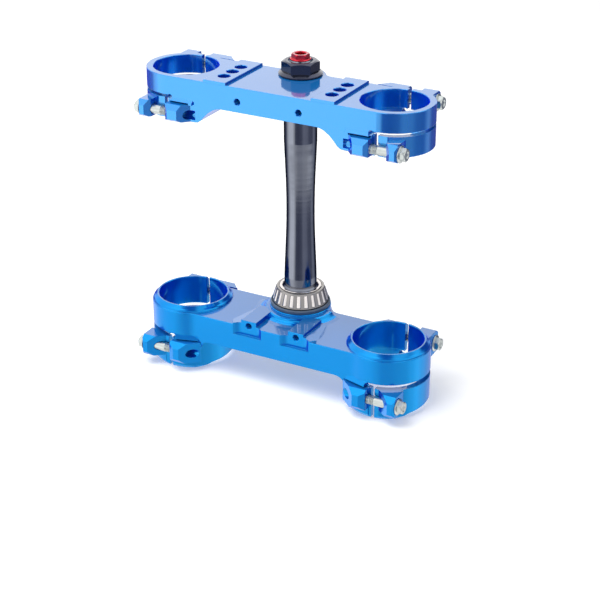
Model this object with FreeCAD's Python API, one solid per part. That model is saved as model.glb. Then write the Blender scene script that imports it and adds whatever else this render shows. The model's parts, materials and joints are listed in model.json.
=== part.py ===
# Motorcycle triple clamp: two machined clamps on a hollow steering stem.
# Millimetres. X to the rider's right, front is -Y, Z up along the stem.
# Heights below are from the lower ring bottoms. Each piece is saved with the
# origin on the steering axis at the lower end of the stem.
import math
import os

import FreeCAD
import Part

V = FreeCAD.Vector

# Fork tubes
FORK_X = 94.0
FORK_Y = -22.0

# Lower clamp
LOW_TOP = 52.5
LOW_BRIDGE_THICK = 24.0
LOW_BRIDGE_BOTTOM = LOW_TOP - LOW_BRIDGE_THICK
LOW_BORE_R = 29.5
LOW_WALL = 5.7
LOW_RING_R = LOW_BORE_R + LOW_WALL
LOW_FRONT_Y = FORK_Y - LOW_BORE_R - 1.5
LOW_REAR_Y = FORK_Y + LOW_BORE_R
LOW_COLLAR_HEIGHT = 5.0
LOW_COLLAR_TOP = LOW_TOP + LOW_COLLAR_HEIGHT
LOW_LEG_R = 11.0
LOW_LEG_X = FORK_X - LOW_RING_R + 12.2
LOW_SLOT_GAP = 4.7
LOW_SLOT_HIGH = LOW_TOP - 20.9
LOW_SLOT_LOW = LOW_SLOT_HIGH - LOW_SLOT_GAP
LOW_SLOT_X = FORK_X - 1.5
LOW_SLIT_X = FORK_X + 3.0

# Upper clamp
HEAD_SPACE = 173.5
UP_BOTTOM = LOW_TOP + HEAD_SPACE
UP_THICK = 35.5
UP_TOP = UP_BOTTOM + UP_THICK
UP_BRIDGE_THICK = 20.4
UP_BRIDGE_BOTTOM = UP_TOP - UP_BRIDGE_THICK
UP_BORE_R = 27.0
UP_WALL = 5.5
UP_RING_R = UP_BORE_R + UP_WALL
UP_FRONT_Y = FORK_Y - UP_RING_R
UP_REAR_Y = FORK_Y + UP_BORE_R + 1.0
UP_SLOT_GAP = 2.8
UP_SLOT_HIGH = UP_TOP - 15.8
UP_SLOT_LOW = UP_SLOT_HIGH - UP_SLOT_GAP
UP_SLOT_X = FORK_X - 4.0
UP_SLIT_X = FORK_X

# Edges, slits and the shallow relief between the two gripping bands of each bore
EDGE = 0.45
SLIT_WIDTH = 3.0
RELIEF_DEPTH = 0.3
RELIEF_SIDE = 0.6

# Clamp lugs, measured outwards from the ring's outer radius
LUG_REACH = 9.1
LUG_FLOOR = -1.35
BOLT_REACH = 1.0

# Pinch bolts
SHANK_R = 4.0
TAP_R = 4.05
CLEAR_R = 4.3
FLANGE_R = 7.0
FLANGE_T = 1.4
HEX_AF = 10.0
HEX_H = 4.2

# Handlebar pads on the upper clamp
PAD_HOLE_X = FORK_X - 45.7
PAD_IN_X = PAD_HOLE_X - 10.3
PAD_OUT_X = PAD_HOLE_X + 10.2
PAD_REAR_Y = UP_REAR_Y - 0.5
PAD_HEIGHT = 2.0
PAD_HOLE_PITCH = 13.25
PAD_HOLE_Y0 = FORK_Y - 16.5
PAD_HOLE_R = 5.1

# Front accessory holes, tapped M6
ACC_TAP_R = 2.6
UP_ACC_X = 27.4
UP_ACC_Z = UP_TOP - 11.9

# Steering stem
STEM_SEAT_R = 15.0
STEM_BODY_R = STEM_SEAT_R - 1.3
STEM_WAIST_R = STEM_BODY_R - 1.9
STEM_UP_R = STEM_BODY_R - 1.2
STEM_THREAD_R = STEM_UP_R - 2.5
STEM_BORE_R = STEM_THREAD_R - 2.0
STEM_PLUG_R = STEM_BORE_R - 1.0
STEM_FOOT_BORE_R = STEM_SEAT_R - 4.5
STEM_FOOT_BORE = 77.0
STEM_BOTTOM = LOW_BRIDGE_BOTTOM - 1.5
STEM_END = 12.8
STEM_TOP = UP_TOP + STEM_END

# Stem nut and plug
NUT_AF = 2 * STEM_THREAD_R + 7.0
NUT_FLANGE_R = NUT_AF / 2 + 4.4
NUT_HEIGHT = 12.0
NUT_HEX_TOP = UP_TOP + NUT_HEIGHT
NUT_FACE_R = NUT_AF / 2 - 1.2
PLUG_AF = 2 * STEM_PLUG_R - 1.0
PLUG_HEIGHT = 4.7
PLUG_TOP = STEM_TOP + PLUG_HEIGHT

# Lower steering head bearing on the boss
BOSS_HEIGHT = 6.1
BOSS_TOP = LOW_TOP + BOSS_HEIGHT
SEAL_DISC = 2.2
RACE_BOTTOM = BOSS_TOP + SEAL_DISC
RACE_HEIGHT = 15.0
RACE_TOP = RACE_BOTTOM + RACE_HEIGHT
ROLLERS = 22
ROLLER_TILT = 15.0
ROLLER_LEN = 10.4
ROLLER_BIG_R = 2.3
ROLLER_SMALL_R = 2.0
ROLLER_BIG_X = STEM_SEAT_R + 6.75
ROLLER_BIG_Z = RACE_BOTTOM + 2.5
CAGE_TOP = RACE_TOP - 0.6
SEAL_R = ROLLER_BIG_X + 3.85
BOSS_R = SEAL_R + 0.6
BRIDGE_BOSS_R = BOSS_R + 0.6
SKIRT_R = BOSS_R + 4.6
STEM_SEAT_TOP = RACE_TOP - 0.5
UP_BOSS_R = STEM_UP_R + 8.0

# Small front lugs of the lower clamp
LUG_IN_X = 15.2
LUG_OUT_X = LUG_IN_X + 14.5
LUG_FACE_Y = LOW_FRONT_Y + 3.0
LUG_TOP = LOW_TOP + 4.1
LUG_FOOT = LUG_TOP - 13.3
LUG_MILL_R = 8.0
LOW_ACC_X = (LUG_IN_X + LUG_OUT_X) / 2
LOW_ACC_Z = LUG_TOP - 4.6

# Ledge over the front lugs of the lower clamp
LEDGE_GAP = 1.3
LEDGE_TURN = 15.9

# Fender holes under the lower bridge
FENDER_X = 34.0
FENDER_Y = FORK_Y - 3.0
FENDER_PITCH = 32.0


class Pinch:
    # One pinch bolt with its two lugs: which ring, which side, and its distances from the slit.
    # Ramp and nose shape the inboard lug in plan, knee and slant the inner side of the outer lug.
    def __init__(self, ring_r, front, slit_x, z, pocket_in, pocket_out, seat, reach,
                 ramp=9.6, nose=2.8, knee=4.3, slant=4.3):
        s = -1.0 if front else 1.0
        self.s = s
        self.z = z
        self.y = FORK_Y + s * (ring_r + BOLT_REACH)
        self.face_y = FORK_Y + s * (ring_r + LUG_REACH)
        self.floor_y = FORK_Y + s * (ring_r + LUG_FLOOR)
        self.x0 = slit_x - pocket_in
        self.x1 = slit_x + pocket_out
        self.seat = slit_x + seat
        self.end = slit_x - reach
        self.ramp = ramp
        self.nose = nose
        self.knee = knee
        self.slant = slant


PINCH = {
    "upper_front": Pinch(UP_RING_R, True, UP_SLIT_X, UP_BOTTOM + 6.0, 3.2, 11.4, 21.5, 14.5,
                         nose=3.1),
    "upper_rear": Pinch(UP_RING_R, False, UP_SLIT_X, UP_TOP - 8.7, 3.4, 8.5, 20.9, 15.0),
    "lower_front": Pinch(LOW_RING_R, True, LOW_SLIT_X, LOW_TOP - 35.2, 3.6, 5.0, 23.6, 14.5,
                         ramp=12.7, nose=4.9, knee=LUG_REACH - LUG_FLOOR, slant=12.6),
    "lower_rear": Pinch(LOW_RING_R, False, LOW_SLIT_X, LOW_TOP - 10.4, 4.5, 9.5, 22.8, 16.0),
}

os.makedirs("parts", exist_ok=True)


def box(x0, x1, y0, y1, z0, z1):
    return Part.makeBox(x1 - x0, y1 - y0, z1 - z0, V(x0, y0, z0))


def cyl_z(x, y, r, z0, z1):
    return Part.makeCylinder(r, z1 - z0, V(x, y, z0), V(0, 0, 1))


def cyl_x(y, z, r, x0, x1):
    return Part.makeCylinder(r, x1 - x0, V(x0, y, z), V(1, 0, 0))


def cyl_y(x, z, r, y0, y1):
    return Part.makeCylinder(r, y1 - y0, V(x, y0, z), V(0, 1, 0))


def prism_xy(pts, z0, z1):
    ring = [V(x, y, z0) for x, y in pts]
    return Part.Face(Part.makePolygon(ring + [ring[0]])).extrude(V(0, 0, z1 - z0))


def prism_yz(pts, x0, x1):
    ring = [V(x0, y, z) for y, z in pts]
    return Part.Face(Part.makePolygon(ring + [ring[0]])).extrude(V(x1 - x0, 0, 0))


def turned(pts):
    ring = [V(r, 0, z) for r, z in pts]
    face = Part.Face(Part.makePolygon(ring + [ring[0]]))
    return face.revolve(V(0, 0, 0), V(0, 0, 1), 360)


def hexagon(af, z0, z1, turn=0.0):
    r = af / math.sqrt(3)
    pts = []
    for i in range(6):
        a = math.radians(turn + 60 * i)
        pts.append((r * math.cos(a), r * math.sin(a)))
    return prism_xy(pts, z0, z1)


def mirrored(shape):
    return shape.mirror(V(0, 0, 0), V(1, 0, 0))


def both(shape):
    return shape.fuse(mirrored(shape))


def front_profile(levels, y0, y1):
    # The clamp seen from the front, right half and its mirror image.
    half = [V(x, y0, z) for x, z in levels]
    other = [V(-p.x, p.y, p.z) for p in reversed(half)]
    ring = half + other
    return Part.Face(Part.makePolygon(ring + [ring[0]])).extrude(V(0, y1 - y0, 0))


def arc_points(cx, cz, r, a0, a1, n):
    out = []
    for i in range(n + 1):
        a = math.radians(a0 + (a1 - a0) * i / n)
        out.append((cx + r * math.cos(a), cz + r * math.sin(a)))
    return out


def upright_edges(shape, spots, tol=1.2):
    # Vertical edges that stand at the given plan points.
    found = []
    for e in shape.Edges:
        if len(e.Vertexes) != 2:
            continue
        a, b = e.Vertexes[0].Point, e.Vertexes[1].Point
        if abs(a.x - b.x) > 0.01 or abs(a.y - b.y) > 0.01:
            continue
        for x, y in spots:
            if math.hypot(abs(a.x) - x, a.y - y) < tol:
                found.append(e)
                break
    return found


def circle_meets_y(cx, cy, r, y):
    return cx - math.sqrt(r * r - (y - cy) ** 2)


def chamfer_cone(x, y, r, z, up, size=EDGE):
    # A cone that breaks the edge of an upright hole at height z.
    low = z if not up else z - size
    r0, r1 = (r + size, r) if not up else (r, r + size)
    return Part.makeCone(r0, r1, size, V(x, y, low))


def level_edges(shape, z):
    # Edges that lie at height z.
    found = []
    for e in shape.Edges:
        if all(abs(v.Z - z) < 0.01 for v in e.Vertexes):
            found.append(e)
    return found


# Clamp lugs, built for the right side and mirrored.

def lug_pair(pin, z_pts, ramp_x):
    # Two lugs across a slit, cut from plan and side outlines.
    s = pin.s
    face_y, floor_y = pin.face_y, pin.floor_y
    root = floor_y - s * 2.5
    inboard = [(ramp_x - 2, root), (ramp_x, floor_y - s * 0.9), (ramp_x + pin.ramp, face_y),
               (pin.x0 - pin.nose, face_y), (pin.x0, face_y - s * 2.6), (pin.x0, root)]
    outboard = [(pin.x1, face_y - s * pin.knee), (pin.x1 + pin.slant, face_y),
                (pin.seat - 1.5, face_y), (pin.seat, face_y - s * 2.1),
                (pin.seat, root - s * 8.5), (pin.x1, root - s * 4.0)]
    z_lo = min(p[1] for p in z_pts) - 1
    z_hi = max(p[1] for p in z_pts) + 1
    side = prism_yz(z_pts, FORK_X - 40, FORK_X + 50)
    return [prism_xy(p, z_lo, z_hi).common(side) for p in (inboard, outboard)]


def lug_cuts(pin, z0, z1):
    # Pocket between the lugs, bolt hole, tapped hole and its run-out.
    y_far = pin.y + pin.s * 14.0
    pocket = box(pin.x0, pin.x1, min(pin.floor_y, y_far), max(pin.floor_y, y_far), z0, z1)
    clear = cyl_x(pin.y, pin.z, CLEAR_R, pin.x0, pin.seat + 20)
    tapped = cyl_x(pin.y, pin.z, TAP_R, pin.end - 13, pin.x0 + 1)
    return [pocket, clear, tapped]


# Upper clamp.

def make_upper_clamp():
    plan = box(-FORK_X, FORK_X, UP_FRONT_Y, UP_REAR_Y, UP_BOTTOM, UP_TOP)
    plan = plan.fuse([cyl_z(FORK_X, FORK_Y, UP_RING_R, UP_BOTTOM, UP_TOP),
                      cyl_z(-FORK_X, FORK_Y, UP_RING_R, UP_BOTTOM, UP_TOP),
                      cyl_z(0, 0, UP_BOSS_R, UP_BOTTOM, UP_TOP)]).removeSplitter()
    boss_x = math.sqrt(UP_BOSS_R ** 2 - UP_REAR_Y ** 2)
    plan = plan.makeFillet(9.0, upright_edges(plan, [(boss_x, UP_REAR_Y)]))
    plan = plan.makeChamfer(EDGE, level_edges(plan, UP_TOP) + level_edges(plan, UP_BOTTOM))
    # The bridge is thinner than the rings; curved legs join them.
    leg = [(25.0, 0.0), (26.0, 0.0), (29.7, 0.6), (32.7, 2.6), (35.8, 6.2), (39.4, 9.9),
           (44.0, 13.1), (47.8, 14.6), (51.0, UP_THICK - UP_BRIDGE_THICK)]
    levels = [(0, UP_TOP + 1), (FORK_X + 46, UP_TOP + 1), (FORK_X + 46, UP_BOTTOM - 1),
              (FORK_X - 25.0, UP_BOTTOM - 1)]
    levels += [(FORK_X - d, UP_BOTTOM + h) for d, h in leg] + [(0, UP_BRIDGE_BOTTOM)]
    body = plan.common(front_profile(levels, FORK_Y - 60, FORK_Y + 70))
    front, rear = PINCH["upper_front"], PINCH["upper_rear"]
    adds = []
    # Front lugs on the lower ring, with a ledge above them.
    f, y0 = front.face_y, UP_FRONT_Y
    z_pts = [(y0 + 8, UP_SLOT_LOW - 2.3), (f + 3.0, UP_SLOT_LOW - 2.3), (f, UP_SLOT_LOW - 6.6),
             (f, UP_BOTTOM + 2.4), (f + 2.9, UP_BOTTOM + 0.4), (y0 + 8, UP_BOTTOM)]
    adds += lug_pair(front, z_pts, FORK_X - 25.0)
    ledge_top = UP_SLOT_LOW + 0.9
    ledge = prism_yz([(y0 + 3, ledge_top), (y0, ledge_top), (y0 - 2.1, ledge_top - 1.7),
                      (y0 - 2.1, ledge_top - 3.4), (y0 + 3, ledge_top - 3.4)],
                     FORK_X - 25.5, FORK_X - 5.0)
    adds.append(ledge)
    # Rear lugs on the upper ring.
    r, z = rear.face_y, UP_TOP
    r_pts = [(FORK_Y + 20, z), (r - 4.9, z), (r, z - 4.3), (r, z - 12.1), (r - 3.3, z - 15.3),
             (FORK_Y + 20, UP_SLOT_HIGH)]
    adds += lug_pair(rear, r_pts, FORK_X - 26.5)
    # Bar pad.
    pad = box(PAD_IN_X, PAD_OUT_X, UP_FRONT_Y + 0.2, PAD_REAR_Y, UP_TOP - 1, UP_TOP + PAD_HEIGHT)
    adds.append(pad.makeChamfer(EDGE, level_edges(pad, UP_TOP + PAD_HEIGHT)))
    body = body.fuse([both(a) for a in adds]).removeSplitter()
    cuts = [cyl_z(FORK_X, FORK_Y, UP_BORE_R, UP_BOTTOM - 2, UP_TOP + 5),
            chamfer_cone(FORK_X, FORK_Y, UP_BORE_R, UP_TOP, True),
            chamfer_cone(FORK_X, FORK_Y, UP_BORE_R, UP_BOTTOM, False),
            cyl_z(FORK_X, FORK_Y, UP_BORE_R + RELIEF_DEPTH, UP_SLOT_LOW - RELIEF_SIDE,
                  UP_SLOT_HIGH + RELIEF_SIDE)]
    cuts += lug_cuts(front, UP_BOTTOM - 2, UP_SLOT_LOW + 0.5)
    cuts += lug_cuts(rear, UP_SLOT_HIGH - 0.5, UP_TOP + 2)
    # Flat slot round the outboard side, its end hole and the thin cut over the front lug.
    y_lo, y_hi = FORK_Y - 60, FORK_Y + 62
    cuts.append(box(UP_SLOT_X, FORK_X + 46, y_lo, y_hi, UP_SLOT_LOW, UP_SLOT_HIGH))
    cuts.append(cyl_y(UP_SLOT_X, UP_SLOT_LOW + 1.3, 2.2, y_lo, y_hi))
    cuts.append(box(FORK_X - 22.5, UP_SLOT_X, y_lo, UP_FRONT_Y + 3.5, UP_SLOT_LOW - 2.3,
                    UP_SLOT_LOW - 1.0))
    # Slits: front through the lower ring, rear through the upper ring.
    h = SLIT_WIDTH / 2
    cuts.append(box(UP_SLIT_X - h, UP_SLIT_X + h, y_lo, FORK_Y, UP_BOTTOM - 2, UP_SLOT_LOW + 1))
    cuts.append(box(UP_SLIT_X - h, UP_SLIT_X + h, FORK_Y, y_hi, UP_SLOT_HIGH - 1, UP_TOP + 5))
    for i in range(3):
        y = PAD_HOLE_Y0 + i * PAD_HOLE_PITCH
        cuts.append(cyl_z(PAD_HOLE_X, y, PAD_HOLE_R, UP_BOTTOM, UP_TOP + 5))
        cuts.append(chamfer_cone(PAD_HOLE_X, y, PAD_HOLE_R, UP_TOP + PAD_HEIGHT, True))
    cuts.append(cyl_y(UP_ACC_X, UP_ACC_Z, ACC_TAP_R, UP_FRONT_Y - 1, UP_FRONT_Y + 15))
    cuts.append(Part.makeCone(ACC_TAP_R + EDGE, ACC_TAP_R, EDGE, V(UP_ACC_X, UP_FRONT_Y, UP_ACC_Z),
                              V(0, 1, 0)))
    cuts = [both(c) for c in cuts]
    cuts.append(cyl_z(0, 0, STEM_UP_R, UP_BOTTOM, UP_TOP + 5))
    return body.cut(cuts).removeSplitter()


# Lower clamp.

def flank():
    # A shallow slope beside the small lug, level with the top face along one line.
    start = V(SKIRT_R - 0.8, 0, LOW_TOP)
    run = V(10.0, LOW_FRONT_Y + 11.0, 0)
    end = start + run
    run.normalize()
    out = V(-run.y, run.x, 0)
    a = math.radians(8.0)
    normal = out * math.sin(a) + V(0, 0, math.cos(a))
    inner = LUG_IN_X + 4.8
    plan = [(inner, 0), (start.x, 0), (end.x, end.y), (end.x + 0.6, end.y - 4.0),
            (LUG_OUT_X + 6.8, LOW_FRONT_Y + 0.5), (inner, LOW_FRONT_Y + 0.5)]
    block = prism_xy(plan, LOW_TOP - 3, LOW_TOP + 6)
    above = Part.makeBox(300, 300, 60, V(-150, -150, 0))
    above.Placement = FreeCAD.Placement(start, FreeCAD.Rotation(V(0, 0, 1), normal))
    return block.cut(above)


def small_lug_cuts():
    # A shallow milled recess in front of each small lug and its tapped hole.
    z1 = LOW_TOP + 10
    y = LUG_FACE_Y - LUG_MILL_R
    return [box(LUG_IN_X, LUG_OUT_X, LUG_FACE_Y - 10, LUG_FACE_Y, LUG_FOOT, z1),
            cyl_z(LUG_IN_X, y, LUG_MILL_R, LUG_FOOT, z1),
            cyl_z(LUG_OUT_X, y, LUG_MILL_R, LUG_FOOT, z1),
            cyl_y(LOW_ACC_X, LOW_ACC_Z, ACC_TAP_R, LUG_FACE_Y - 2, LUG_FACE_Y + 14),
            Part.makeCone(ACC_TAP_R + EDGE, ACC_TAP_R, EDGE, V(LOW_ACC_X, LUG_FACE_Y, LOW_ACC_Z),
                          V(0, 1, 0))]


def make_lower_clamp():
    plan = box(-FORK_X, FORK_X, LOW_FRONT_Y, LOW_REAR_Y, 0, LOW_TOP)
    plan = plan.fuse([cyl_z(FORK_X, FORK_Y, LOW_RING_R, 0, LOW_TOP),
                      cyl_z(-FORK_X, FORK_Y, LOW_RING_R, 0, LOW_TOP),
                      cyl_z(0, 0, BRIDGE_BOSS_R, 0, LOW_TOP)]).removeSplitter()
    front_x = circle_meets_y(FORK_X, FORK_Y, LOW_RING_R, LOW_FRONT_Y)
    boss_x = math.sqrt(BRIDGE_BOSS_R ** 2 - LOW_REAR_Y ** 2)
    plan = plan.makeFillet(22.0, upright_edges(plan, [(front_x, LOW_FRONT_Y)]))
    plan = plan.makeFillet(12.0, upright_edges(plan, [(boss_x, LOW_REAR_Y)]))
    plan = plan.makeChamfer(EDGE, level_edges(plan, LOW_TOP))
    r = LOW_LEG_R
    leg = arc_points(LOW_LEG_X - r, LOW_BRIDGE_BOTTOM - r, r, 0, 90, 8)
    levels = [(0, LOW_TOP + 1), (FORK_X + 56, LOW_TOP + 1), (FORK_X + 56, -1), (LOW_LEG_X, -1)]
    levels += leg + [(0, LOW_BRIDGE_BOTTOM)]
    y_lo, y_hi = FORK_Y - 60, FORK_Y + 72
    body = plan.common(front_profile(levels, y_lo, y_hi))
    ring = turned([(0, 0.0), (LOW_RING_R - 1.4, 0.0), (LOW_RING_R, 2.4),
                   (LOW_RING_R, LOW_TOP - EDGE), (LOW_RING_R - EDGE, LOW_TOP), (0, LOW_TOP)])
    ring.translate(V(FORK_X, FORK_Y, 0))
    knee = LOW_BRIDGE_BOTTOM - r
    x_in = FORK_X - LOW_RING_R - 2
    square = both(box(x_in, FORK_X + LOW_RING_R + 5, y_lo, y_hi, -1, knee).cut(ring))
    body = body.cut(square)
    adds = [ring]
    collar = turned([(LOW_BORE_R - 2, LOW_TOP - 2), (LOW_BORE_R - 2, LOW_COLLAR_TOP),
                     (LOW_BORE_R + 1.5, LOW_COLLAR_TOP), (LOW_BORE_R + 3.4, LOW_COLLAR_TOP - 2.2),
                     (LOW_BORE_R + 4.4, LOW_COLLAR_TOP - 3.1),
                     (LOW_BORE_R + 5.0, LOW_COLLAR_TOP - 4.1),
                     (LOW_BORE_R + 5.1, LOW_TOP), (LOW_BORE_R + 5.1, LOW_TOP - 2)])
    collar.translate(V(FORK_X, FORK_Y, 0))
    adds.append(collar)
    front, rear = PINCH["lower_front"], PINCH["lower_rear"]
    f, z, g = front.face_y, front.z, front.floor_y
    z_pts = [(g + 8, LOW_SLOT_LOW), (f + 4.8, LOW_SLOT_LOW), (f, LOW_SLOT_LOW - 4.6), (f, z - 5.3),
             (f + 3.5, z - 8.9), (g + 8, z - 8.9)]
    adds += lug_pair(front, z_pts, LOW_LEG_X - 0.8)
    # A slim ledge over the front lug, slanted in plan.
    low = LOW_SLOT_LOW + LEDGE_GAP
    ledge = prism_yz([(0, low), (1.2, low + 1.8), (3.9, low + 5.8), (8.0, low + 5.8), (8.0, low)],
                     0, 21.8)
    ledge.rotate(V(0, 0, 0), V(0, 0, 1), -LEDGE_TURN)
    ledge.translate(V(LOW_LEG_X - 0.5, g + 1.7, 0))
    adds.append(ledge)
    b, z = rear.face_y, LOW_TOP
    r_pts = [(FORK_Y + 20, z), (b - 5.2, z), (b, z - 4.3), (b, z - 15.3), (b - 3.4, z - 18.9),
             (FORK_Y + 20, LOW_SLOT_HIGH)]
    adds += lug_pair(rear, r_pts, FORK_X - 24.0)
    # Small front lugs for a bracket, with a sloped flank on their outer sides.
    adds.append(box(LUG_IN_X, LUG_OUT_X, LUG_FACE_Y, -18.0, LUG_FOOT, LUG_TOP))
    adds.append(flank())
    body = body.fuse([both(a) for a in adds])
    neck = turned([(0, LOW_TOP - 4), (BOSS_R, LOW_TOP - 4), (BOSS_R, BOSS_TOP - 0.4),
                   (BOSS_R - 0.4, BOSS_TOP), (0, BOSS_TOP)])
    s, t = SKIRT_R, LOW_TOP
    skirt = turned([(0, t - 4), (s + 7.7, t - 4), (s + 7.7, t), (s + 4.0, t + 0.4),
                    (s + 1.6, t + 1.1), (s + 0.4, t + 2.1), (s, t + 2.9), (s - 0.5, t + 3.6),
                    (s - 1.6, t + 4.1), (s - 3.4, t + 4.4), (0, t + 4.7)])
    skirt = skirt.common(box(-s - 15, s + 15, LOW_FRONT_Y + 1, 0, 0, t + 30))
    body = body.fuse([neck, skirt]).removeSplitter()
    cuts = [cyl_z(FORK_X, FORK_Y, LOW_BORE_R, -2, LOW_COLLAR_TOP + 5),
            chamfer_cone(FORK_X, FORK_Y, LOW_BORE_R, LOW_COLLAR_TOP, True),
            cyl_z(FORK_X, FORK_Y, LOW_BORE_R + RELIEF_DEPTH, LOW_SLOT_LOW - RELIEF_SIDE,
                  LOW_SLOT_HIGH + RELIEF_SIDE)]
    cuts += lug_cuts(front, -2, LOW_SLOT_LOW + 0.5)
    cuts += lug_cuts(rear, LOW_SLOT_HIGH - 0.5, LOW_TOP + 6)
    cuts.append(box(LOW_SLOT_X, FORK_X + 56, y_lo, y_hi, LOW_SLOT_LOW, LOW_SLOT_HIGH))
    cuts.append(cyl_y(LOW_SLOT_X, (LOW_SLOT_LOW + LOW_SLOT_HIGH) / 2, LOW_SLOT_GAP / 2, y_lo, y_hi))
    cuts.append(box(LOW_LEG_X + 1.5, LOW_SLOT_X, y_lo, g + 2.1, LOW_SLOT_LOW, low))
    h = SLIT_WIDTH / 2
    cuts.append(box(LOW_SLIT_X - h, LOW_SLIT_X + h, y_lo, FORK_Y, -2, LOW_SLOT_LOW + 1))
    cuts.append(box(LOW_SLIT_X - h, LOW_SLIT_X + h, FORK_Y, y_hi, LOW_SLOT_HIGH - 1,
                    LOW_COLLAR_TOP + 5))
    # The ring undersides step up behind the front lugs.
    cuts.append(prism_yz([(FORK_Y - 28.5, -2), (FORK_Y - 28.5, 0), (FORK_Y - 19.0, 3.9),
                          (FORK_Y, 6.0), (FORK_Y + 46.0, 9.5), (FORK_Y + 46.0, -2)],
                         FORK_X - 44, FORK_X + 56))
    cuts += small_lug_cuts()
    # Four tapped fender holes from below.
    for y in (FENDER_Y - FENDER_PITCH / 2, FENDER_Y + FENDER_PITCH / 2):
        cuts.append(cyl_z(FENDER_X, y, ACC_TAP_R, LOW_BRIDGE_BOTTOM - 2, LOW_BRIDGE_BOTTOM + 14))
    cuts = [both(c) for c in cuts]
    cuts.append(cyl_z(0, 0, STEM_SEAT_R, -2, BOSS_TOP + 5))
    return body.cut(cuts).removeSplitter()


# Pinch bolts.

def make_bolt(name):
    pin = PINCH[name]
    axis_y, axis_z, seat, end = pin.y, pin.z, pin.seat, pin.end
    shank = cyl_x(axis_y, axis_z, SHANK_R, end + 0.8, seat + 1)
    tip = Part.makeCone(SHANK_R - 0.8, SHANK_R, 0.8, V(end, axis_y, axis_z), V(1, 0, 0))
    flange = cyl_x(axis_y, axis_z, FLANGE_R, seat, seat + 0.9)
    skirt = Part.makeCone(FLANGE_R, HEX_AF / 2 + 0.5, FLANGE_T - 0.9 + 0.6,
                          V(seat + 0.9, axis_y, axis_z), V(1, 0, 0))
    r = HEX_AF / math.sqrt(3)
    ring = []
    for i in range(6):
        a = math.radians(60 * i + 30)
        ring.append(V(seat + 0.5, axis_y + r * math.cos(a), axis_z + r * math.sin(a)))
    head = Part.Face(Part.makePolygon(ring + [ring[0]])).extrude(V(FLANGE_T + HEX_H - 0.5, 0, 0))
    top = seat + FLANGE_T + HEX_H
    cone = Part.makeCone(HEX_AF / 2 + 2.7, HEX_AF / 2 - 0.3, 3.0, V(top - 3.0, axis_y, axis_z),
                         V(1, 0, 0))
    keep = cyl_x(axis_y, axis_z, FLANGE_R, seat, top - 3.0).fuse(cone)
    head = head.common(keep)
    dimple = Part.makeCone(2.2, 3.0, 0.8, V(top - 0.8, axis_y, axis_z), V(1, 0, 0))
    bolt = shank.fuse([tip, flange, skirt, head]).cut(dimple)
    return bolt.removeSplitter()


# Stem, nut and plug.

def make_stem():
    z1, z2 = STEM_SEAT_TOP, UP_BRIDGE_BOTTOM
    outer = [(STEM_SEAT_R - 0.8, STEM_BOTTOM), (STEM_SEAT_R, STEM_BOTTOM + 0.8),
             (STEM_SEAT_R, z1 - 0.6), (STEM_SEAT_R - 0.6, z1), (STEM_BODY_R, z1 + 1.4),
             (STEM_BODY_R, z1 + 9.7)]
    # The body narrows to a waist between its two bearing ends.
    low, high = z1 + 9.7, UP_BOTTOM - 20.0
    waist = low + (high - low) * 0.504
    for i in range(1, 12):
        z = low + (high - low) * i / 12.0
        if z < waist:
            k = math.sin(math.pi / 2 * (z - low) / (waist - low)) ** 1.3
        else:
            k = math.cos(math.pi / 2 * (z - waist) / (high - waist)) ** 1.1
        outer.append((STEM_BODY_R - (STEM_BODY_R - STEM_WAIST_R) * k, z))
    up_r = STEM_UP_R - 0.02
    outer += [(STEM_BODY_R, high), (STEM_BODY_R, z2), (up_r, z2), (up_r, UP_TOP - 1.0),
              (STEM_THREAD_R, UP_TOP - 0.2), (STEM_THREAD_R, STEM_TOP - 0.8),
              (STEM_THREAD_R - 0.8, STEM_TOP)]
    foot = STEM_BOTTOM + STEM_FOOT_BORE
    inner = [(STEM_PLUG_R, STEM_TOP), (STEM_PLUG_R, UP_TOP), (STEM_BORE_R, UP_TOP - 3),
             (STEM_BORE_R, foot + 6.0), (STEM_FOOT_BORE_R, foot), (STEM_FOOT_BORE_R, STEM_BOTTOM)]
    return turned(outer + inner)


def make_nut():
    z0 = UP_TOP
    body = hexagon(NUT_AF, z0 + 0.5, NUT_HEX_TOP, 88.4)
    cone = Part.makeCone(NUT_FACE_R + 9.9, NUT_FACE_R, 4.5, V(0, 0, NUT_HEX_TOP - 4.5))
    body = body.common(cyl_z(0, 0, NUT_FLANGE_R + 2, z0, NUT_HEX_TOP - 4.5).fuse(cone))
    flange = turned([(0, z0), (NUT_FLANGE_R - 1.1, z0), (NUT_FLANGE_R, z0 + 0.7),
                     (NUT_FLANGE_R, z0 + 1.6), (NUT_FLANGE_R - 2.9, z0 + 3.2), (0, z0 + 3.2)])
    nut = body.fuse(flange)
    return nut.cut([cyl_z(0, 0, STEM_THREAD_R + 0.02, z0 - 1, NUT_HEX_TOP + 1),
                    cyl_z(0, 0, STEM_UP_R + 0.2, z0 - 1, z0 + 0.6)]).removeSplitter()


def make_plug():
    top = hexagon(PLUG_AF, STEM_TOP + 0.8, PLUG_TOP, 88.4)
    cone = Part.makeCone(PLUG_AF / 2 + 2.6, PLUG_AF / 2 + 0.1, 2.5, V(0, 0, PLUG_TOP - 2.5))
    top = top.common(cyl_z(0, 0, 12, STEM_TOP, PLUG_TOP - 2.5).fuse(cone))
    r = STEM_PLUG_R + 1.6
    collar = turned([(0, STEM_TOP), (r, STEM_TOP), (r, STEM_TOP + 0.5), (r - 0.6, STEM_TOP + 1.0),
                     (0, STEM_TOP + 1.0)])
    shank = cyl_z(0, 0, STEM_PLUG_R - 0.02, STEM_TOP - 10.0, STEM_TOP + 0.2)
    hole = PLUG_AF / 2 - 2.1
    socket = cyl_z(0, 0, hole, PLUG_TOP - 6.0, PLUG_TOP + 1)
    rim = Part.makeCone(hole, hole + 0.6, 0.6, V(0, 0, PLUG_TOP - 0.6))
    return top.fuse([collar, shank]).cut([socket, rim]).removeSplitter()


# Lower steering head bearing.

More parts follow.
